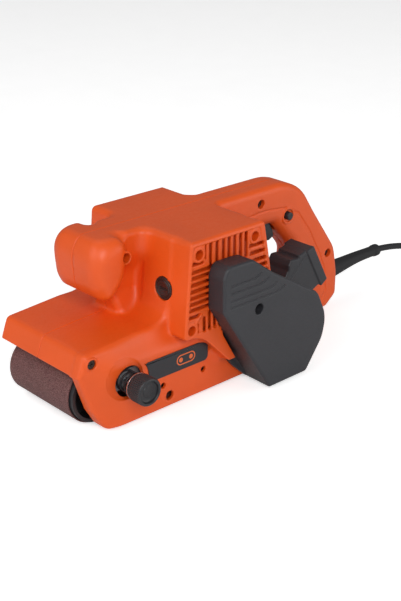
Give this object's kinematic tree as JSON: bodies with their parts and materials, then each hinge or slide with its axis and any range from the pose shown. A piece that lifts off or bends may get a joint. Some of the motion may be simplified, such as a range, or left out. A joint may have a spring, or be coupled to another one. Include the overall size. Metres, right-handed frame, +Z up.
{
  "type": "handheld belt sander",
  "caption": "Handheld belt sander with a clamshell housing, front knob, D-handle, sanding belt on two rollers, side drive cover and dust outlet.",
  "frame": {"origin": "centre of the sanding sole's length on the work surface, on the housing's parting plane", "axes": "+Z up from the work surface, +X from the front roller to the handle, -Y towards the belt drive cover and tracking knob"},
  "size_m": [0.4321, 0.1395, 0.1376],
  "materials": {
    "housing_orange": "satin moulded",
    "cover_grey": "fine matte moulded",
    "black_plastic": "satin moulded",
    "blackened_steel": "black oxide",
    "black_rubber": "matte",
    "abrasive": "cloth backed aluminium oxide grit",
    "bright_steel": "ground",
    "zinc_screws": "zinc plated",
    "pressed_steel": "pressed sheet",
    "cast_alloy": "die cast",
    "laminated_steel": "laminated sheet",
    "copper": "enamelled copper",
    "sintered_bronze": "oil-filled sintered",
    "cork": "pressed cork",
    "carbon": "pressed carbon",
    "brown_resin": "thermoset resin",
    "white_nylon": "moulded nylon"
  },
  "bodies": {
    "housing": {"left_housing": "housing_orange", "right_housing": "housing_orange", "housing_screws": "zinc_screws", "frame_screws": "zinc_screws", "base_frame": "cast_alloy", "sole_plate": "bright_steel", "sole_pad": "cork", "sole_rivets": "zinc_screws", "sanding_belt": "abrasive", "tension_spring": "bright_steel", "lever_pin": "bright_steel", "tracking_spring": "blackened_steel", "drive_bearing": "bright_steel", "end_bearing": "bright_steel", "drive_belt": "black_rubber", "belt_cover": "cover_grey", "cover_screw": "zinc_screws", "motor_bearing_near": "bright_steel", "motor_bearing_far": "bright_steel", "bearing_bracket": "housing_orange", "stator_core": "laminated_steel", "field_windings": "copper", "brush_holders": "brown_resin", "carbon_brushes": "carbon", "brush_springs": "bright_steel", "brush_caps": "black_plastic", "dust_duct": "cover_grey", "label_plate": "cover_grey", "trigger_pin": "bright_steel", "switch_body": "black_plastic", "lock_spring": "bright_steel", "cord_guard": "black_rubber", "power_cord": "black_rubber", "cord_clamp": "white_nylon", "clamp_screws": "zinc_screws"},
    "slide": {"tension_slide": "pressed_steel", "yoke_pin": "bright_steel"},
    "fork": {"front_yoke": "pressed_steel", "front_axle": "bright_steel", "axle_clips": "bright_steel"},
    "idler": {"front_roller": "black_plastic", "front_bushes": "sintered_bronze"},
    "lever": {"tension_lever": "black_plastic"},
    "washer": {"tracking_washer": "bright_steel"},
    "knob": {"tracking_knob": "black_plastic", "tracking_screw": "bright_steel"},
    "drive_roller": {"roller_core": "cast_alloy", "roller_sleeve": "black_rubber", "drive_shaft": "bright_steel", "driven_pulley": "cast_alloy"},
    "armature": {"armature_shaft": "bright_steel", "armature_core": "laminated_steel", "armature_windings": "copper", "commutator": "copper", "motor_fan": "white_nylon", "motor_pulley": "cast_alloy"},
    "trigger": {"trigger": "black_plastic"},
    "lock_button": {"lock_button": "black_plastic"}
  },
  "joints": [
    {"name": "lever_pull", "type": "hinge", "parent": "housing", "child": "lever", "pos_m": [-0.01, 0.038, 0.0246], "axis": [0, 0, 1], "range_deg": [0, 90]},
    {"name": "slide_back", "type": "slide", "parent": "housing", "child": "slide", "axis": [1, 0, 0], "range_m": [0, 0.005], "deforming": ["tension_spring"]},
    {"name": "fork_tilt", "type": "hinge", "parent": "slide", "child": "fork", "pos_m": [-0.024, 0.0036, 0.0246], "axis": [0, 0, 1], "range_deg": [-0.6, 0.6]},
    {"name": "idler_spin", "type": "hinge", "parent": "fork", "child": "idler", "pos_m": [-0.076, 0, 0.0246], "axis": [0, 1, 0], "continuous": true},
    {"name": "washer_travel", "type": "slide", "parent": "housing", "child": "washer", "axis": [0, 1, 0], "range_m": [-0.000386, 0.000386], "deforming": ["tracking_spring"]},
    {"name": "knob_turn", "type": "hinge", "parent": "washer", "child": "knob", "pos_m": [-0.061, -0.076, 0.0375], "axis": [0, 1, 0], "range_deg": [-139, 139]},
    {"name": "roller_spin", "type": "hinge", "parent": "housing", "child": "drive_roller", "pos_m": [0.076, 0, 0.0246], "axis": [0, 1, 0], "continuous": true},
    {"name": "armature_spin", "type": "hinge", "parent": "housing", "child": "armature", "pos_m": [0.027, 0, 0.095], "axis": [0, 1, 0], "continuous": true},
    {"name": "trigger_squeeze", "type": "hinge", "parent": "housing", "child": "trigger", "pos_m": [0.136, 0, 0.107], "axis": [0, 1, 0], "range_deg": [0, 10]},
    {"name": "lock_press", "type": "slide", "parent": "housing", "child": "lock_button", "axis": [0, 1, 0], "range_m": [0, 0.003], "deforming": ["lock_spring"]}
  ],
  "couplings": [
    {"joint": "lever_pull", "follows": "slide_back", "rad_per_m": 314.15},
    {"joint": "knob_turn", "follows": "washer_travel", "rad_per_m": 6283.2},
    {"joint": "fork_tilt", "follows": "washer_travel", "rad_per_m": -27.027},
    {"joint": "idler_spin", "follows": "roller_spin", "ratio": 1},
    {"joint": "armature_spin", "follows": "roller_spin", "ratio": 3.2115}
  ]
}
